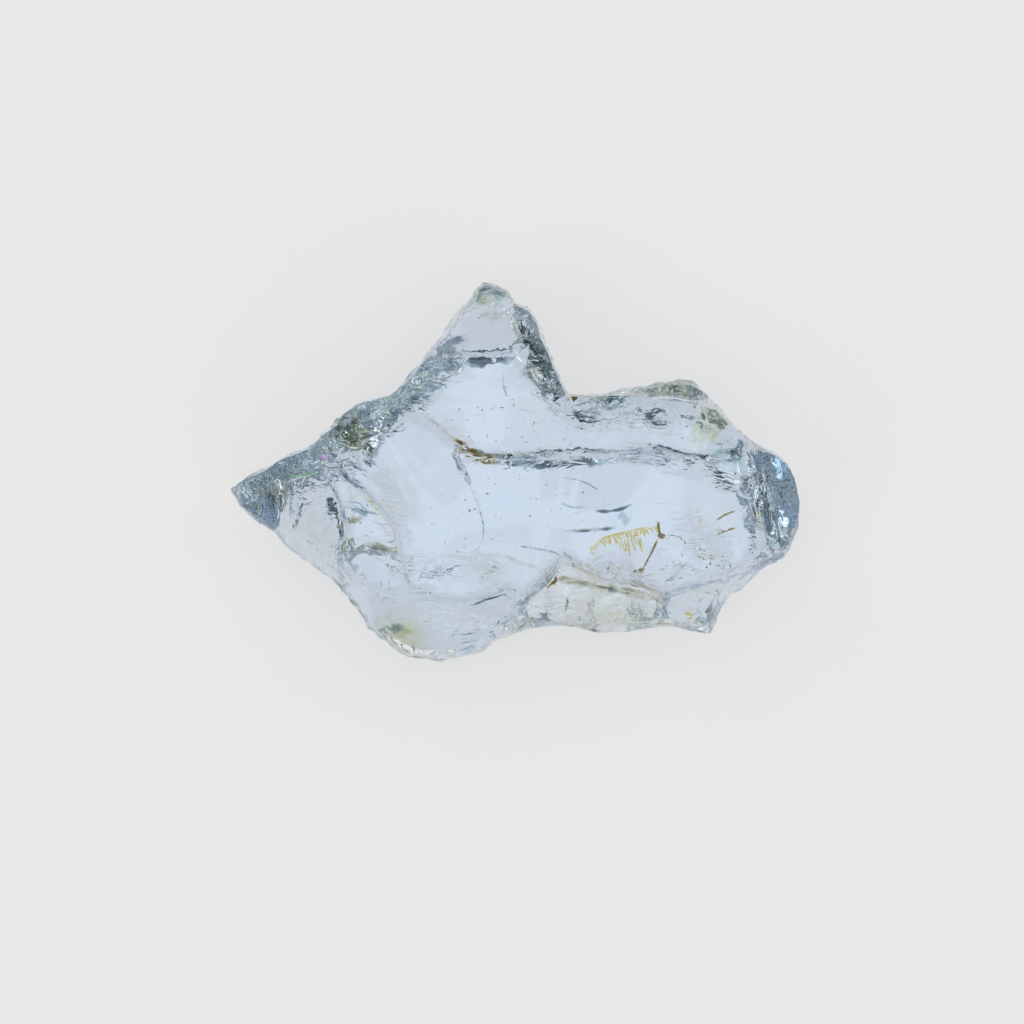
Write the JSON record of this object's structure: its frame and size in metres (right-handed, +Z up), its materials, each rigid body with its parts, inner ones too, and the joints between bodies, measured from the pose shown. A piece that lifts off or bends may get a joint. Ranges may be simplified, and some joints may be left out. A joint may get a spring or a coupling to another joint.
{
  "type": "aquamarine crystal",
  "caption": "Rough, clear pale blue fragment of aquamarine: a thick flat shard with a pointed tip, a peak, broken ledges and a rounded end, lying on its flat back face.",
  "frame": {"origin": "centre of the bounding box, on the flat face that the stone rests on", "axes": "+X along the stone's length, towards its rounded end; +Y towards its peak; +Z up, away from the face it rests on"},
  "size_m": [0.015, 0.0102, 0.0043],
  "materials": {
    "beryl": "clear pale blue, broken glassy faces with fine cracks and faint iron stains"
  },
  "bodies": {
    "root": {"aquamarine_crystal": "beryl"}
  },
  "joints": []
}
